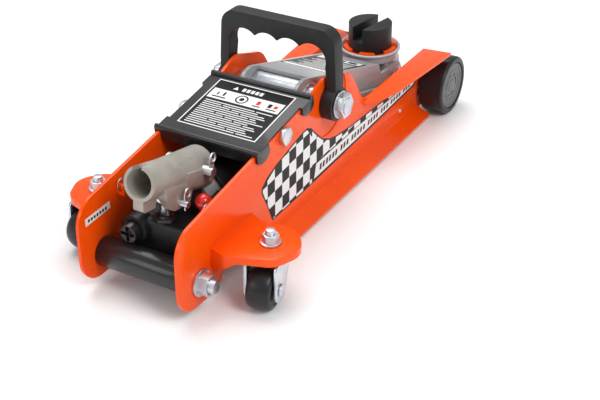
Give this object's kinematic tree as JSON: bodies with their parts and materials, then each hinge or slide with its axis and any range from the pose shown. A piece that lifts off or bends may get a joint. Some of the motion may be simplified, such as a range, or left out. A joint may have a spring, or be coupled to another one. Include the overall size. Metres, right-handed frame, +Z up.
{
  "type": "hydraulic trolley jack",
  "caption": "Low-profile hydraulic floor jack with folded side plates, channel lift arm, swivelling saddle with a slotted rubber pad, hand pump socket, carry handle and swivel casters.",
  "frame": {"origin": "on the floor, under the middle of the jack's box", "axes": "+X towards the saddle and front wheels, +Y to the jack's left, +Z up"},
  "size_m": [0.5, 0.2262, 0.173],
  "materials": {
    "side_plate": "glossy orange powder coat",
    "black_paint": "satin black enamel",
    "grey_paint": "satin silver-grey paint",
    "zinc": "bluish zinc plating",
    "socket_cast": "warm grey coated casting",
    "ram_steel": "ground and plated steel",
    "handle_plastic": "matt moulded plastic",
    "wheel_black": "hard moulded wheel, matt",
    "hub_grey": "grey moulded cap",
    "pad_rubber": "moulded rubber",
    "plug_red": "glossy red cap",
    "spring_steel": "drawn spring wire"
  },
  "bodies": {
    "frame": {"side_plate_right": "side_plate", "side_plate_left": "side_plate", "spring_tabs": "side_plate", "rear_tube": "black_paint", "rear_tie_bolt": "zinc", "rear_tie_nut": "zinc", "cover_plate": "black_paint", "stay_tube": "black_paint", "stay_bolts": "zinc", "unit_mount": "black_paint", "pump_block": "black_paint", "reservoir_tube": "black_paint", "cylinder_tube": "grey_paint", "end_cap": "black_paint", "oil_plug": "plug_red", "pump_gland": "black_paint", "arm_pivot_shaft": "zinc", "pivot_nuts": "zinc", "pivot_washers": "zinc", "frame_link_pins": "zinc", "front_axle": "zinc", "axle_washers": "zinc", "kingpins": "zinc", "kingpin_nuts": "zinc", "kingpin_races": "zinc", "return_spring_left": "spring_steel", "return_spring_right": "spring_steel"},
    "carry_bail": {"carry_handle": "handle_plastic"},
    "arm": {"lift_arm": "grey_paint", "arm_bush": "grey_paint", "crank_pin": "zinc", "saddle_pin": "zinc"},
    "bracket": {"saddle_bracket": "grey_paint", "bracket_link_pin": "zinc"},
    "links": {"link_right": "grey_paint", "link_left": "grey_paint"},
    "ram_assembly": {"ram": "ram_steel", "ram_yoke": "grey_paint"},
    "saddle": {"saddle_dish": "grey_paint", "saddle_ring": "side_plate"},
    "pad": {"rubber_pad": "pad_rubber"},
    "valve": {"release_valve": "black_paint"},
    "lever_socket": {"handle_socket": "socket_cast", "socket_pin": "zinc", "plunger_pin": "zinc", "socket_clips": "zinc"},
    "plunger": {"pump_plunger": "ram_steel"},
    "wheel_front_right": {"front_wheel_right": "wheel_black", "hub_cap_right": "hub_grey"},
    "wheel_front_left": {"front_wheel_left": "wheel_black", "hub_cap_left": "hub_grey"},
    "caster_right": {"caster_fork_right": "zinc", "caster_rivet_right": "zinc"},
    "caster_left": {"caster_fork_left": "zinc", "caster_rivet_left": "zinc"},
    "wheel_caster_right": {"caster_wheel_right": "wheel_black"},
    "wheel_caster_left": {"caster_wheel_left": "wheel_black"}
  },
  "joints": [
    {"name": "carry_handle_swing", "type": "hinge", "parent": "frame", "child": "carry_bail", "pos_m": [-0.004, 0, 0.101], "axis": [0, -1, 0], "range_deg": [-68, 42]},
    {"name": "arm_lift", "type": "hinge", "parent": "frame", "child": "arm", "pos_m": [-0.004, 0, 0.101], "axis": [0, -1, 0], "range_deg": [0, 74], "deforming": ["return_spring_left", "return_spring_right"]},
    {"name": "saddle_level", "type": "hinge", "parent": "arm", "child": "bracket", "pos_m": [0.18, 0, 0.05], "axis": [0, -1, 0], "range_deg": [-74, 0]},
    {"name": "link_swing", "type": "hinge", "parent": "frame", "child": "links", "pos_m": [0.01, 0, 0.081], "axis": [0, -1, 0], "range_deg": [0, 74]},
    {"name": "ram_stroke", "type": "slide", "parent": "frame", "child": "ram_assembly", "axis": [1, 0, 0], "range_m": [0, 0.05537]},
    {"name": "saddle_swivel", "type": "hinge", "parent": "bracket", "child": "saddle", "pos_m": [0.178, 0, 0.05], "axis": [0, 0, 1], "continuous": true},
    {"name": "pad_lift", "type": "slide", "parent": "saddle", "child": "pad", "axis": [0, 0, 1], "range_m": [0, 0.03]},
    {"name": "valve_turn", "type": "hinge", "parent": "frame", "child": "valve", "pos_m": [-0.204, 0.022, 0.053], "axis": [1, 0, 0], "range_deg": [0, 270]},
    {"name": "socket_pump", "type": "hinge", "parent": "frame", "child": "lever_socket", "pos_m": [-0.158, 0, 0.095], "axis": [0, 1, 0], "range_deg": [-15, 20]},
    {"name": "plunger_stroke", "type": "slide", "parent": "frame", "child": "plunger", "axis": [0, 0, 1], "range_m": [-0.00937, 0.0125]},
    {"name": "front_wheel_right_spin", "type": "hinge", "parent": "frame", "child": "wheel_front_right", "pos_m": [0.219, -0.066, 0.031], "axis": [0, 1, 0], "continuous": true},
    {"name": "caster_right_swivel", "type": "hinge", "parent": "frame", "child": "caster_right", "pos_m": [-0.171, -0.088, 0.045], "axis": [0, 0, 1], "continuous": true},
    {"name": "caster_wheel_right_spin", "type": "hinge", "parent": "caster_right", "child": "wheel_caster_right", "pos_m": [-0.18676, -0.09078, 0.0195], "axis": [0.1736, -0.9848, 0], "continuous": true},
    {"name": "front_wheel_left_spin", "type": "hinge", "parent": "frame", "child": "wheel_front_left", "pos_m": [0.219, 0.066, 0.031], "axis": [0, 1, 0], "continuous": true},
    {"name": "caster_left_swivel", "type": "hinge", "parent": "frame", "child": "caster_left", "pos_m": [-0.171, 0.088, 0.045], "axis": [0, 0, 1], "continuous": true},
    {"name": "caster_wheel_left_spin", "type": "hinge", "parent": "caster_left", "child": "wheel_caster_left", "pos_m": [-0.18676, 0.09078, 0.0195], "axis": [-0.1736, -0.9848, 0], "continuous": true}
  ],
  "couplings": [
    {"joint": "saddle_level", "follows": "arm_lift", "ratio": -1},
    {"joint": "link_swing", "follows": "arm_lift", "ratio": 1},
    {"joint": "ram_stroke", "follows": "arm_lift", "m_per_rad": 0.042869},
    {"joint": "plunger_stroke", "follows": "socket_pump", "m_per_rad": 0.0358}
  ]
}
